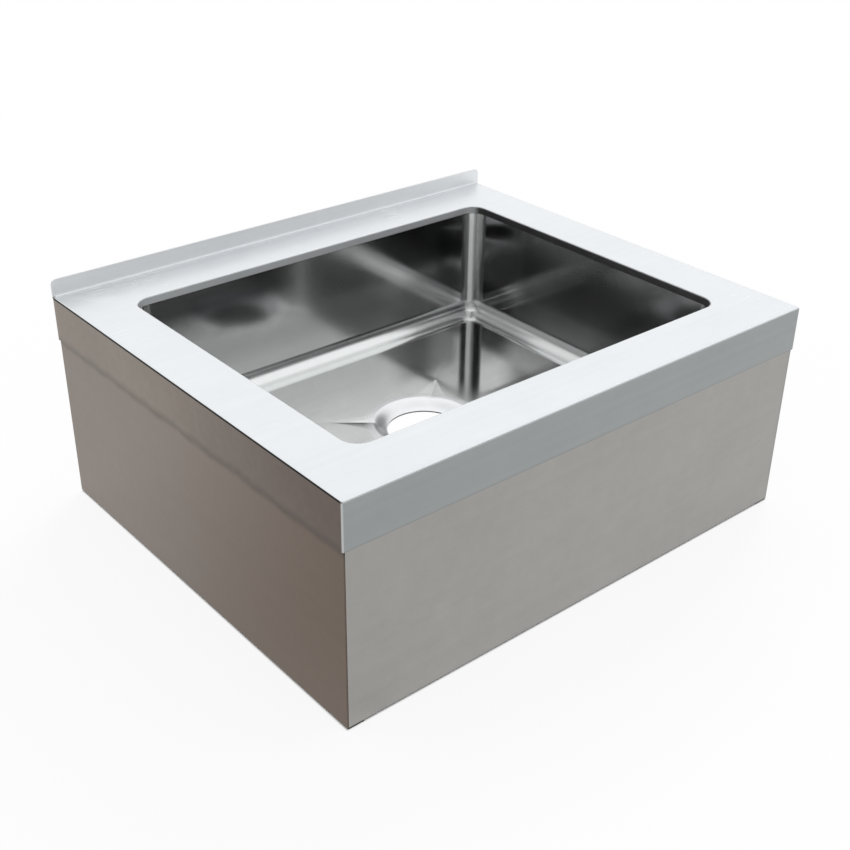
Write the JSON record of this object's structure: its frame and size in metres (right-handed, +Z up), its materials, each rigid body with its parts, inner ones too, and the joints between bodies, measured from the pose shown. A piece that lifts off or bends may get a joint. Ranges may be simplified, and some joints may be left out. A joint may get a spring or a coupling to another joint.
{
  "type": "mop service sink",
  "caption": "Low floor-standing stainless steel mop sink: wide rim with turned-down aprons, low back upstand, coved bowl with open drain hole, full skirt to the floor.",
  "frame": {"origin": "on the floor, at the middle of the sink's width and depth", "axes": "+X along the front edge to the right, +Y back towards the wall and the upstand, +Z up"},
  "size_m": [0.635, 0.538, 0.274],
  "materials": {
    "deck": "fine satin, lengthwise grain",
    "bowl": "polished satin",
    "skirt": "mill finish, faint mottling",
    "bracket": "mill finish",
    "sound_pad": "matte, bonded pad"
  },
  "bodies": {
    "root": {"deck": "deck", "bowl": "bowl", "skirt_left": "skirt", "skirt_right": "skirt", "skirt_front": "skirt", "skirt_back": "skirt", "corner_angle_front_left": "bracket", "corner_angle_front_right": "bracket", "corner_angle_back_right": "bracket", "corner_angle_back_left": "bracket", "deck_channel_left": "bracket", "deck_channel_right": "bracket", "deck_channel_front": "bracket", "deck_channel_back": "bracket", "sound_pad_1": "sound_pad", "sound_pad_2": "sound_pad", "sound_pad_3": "sound_pad", "sound_pad_4": "sound_pad", "floor_clip_left_front": "bracket", "floor_clip_left_back": "bracket", "floor_clip_right_front": "bracket", "floor_clip_right_back": "bracket"}
  },
  "joints": []
}
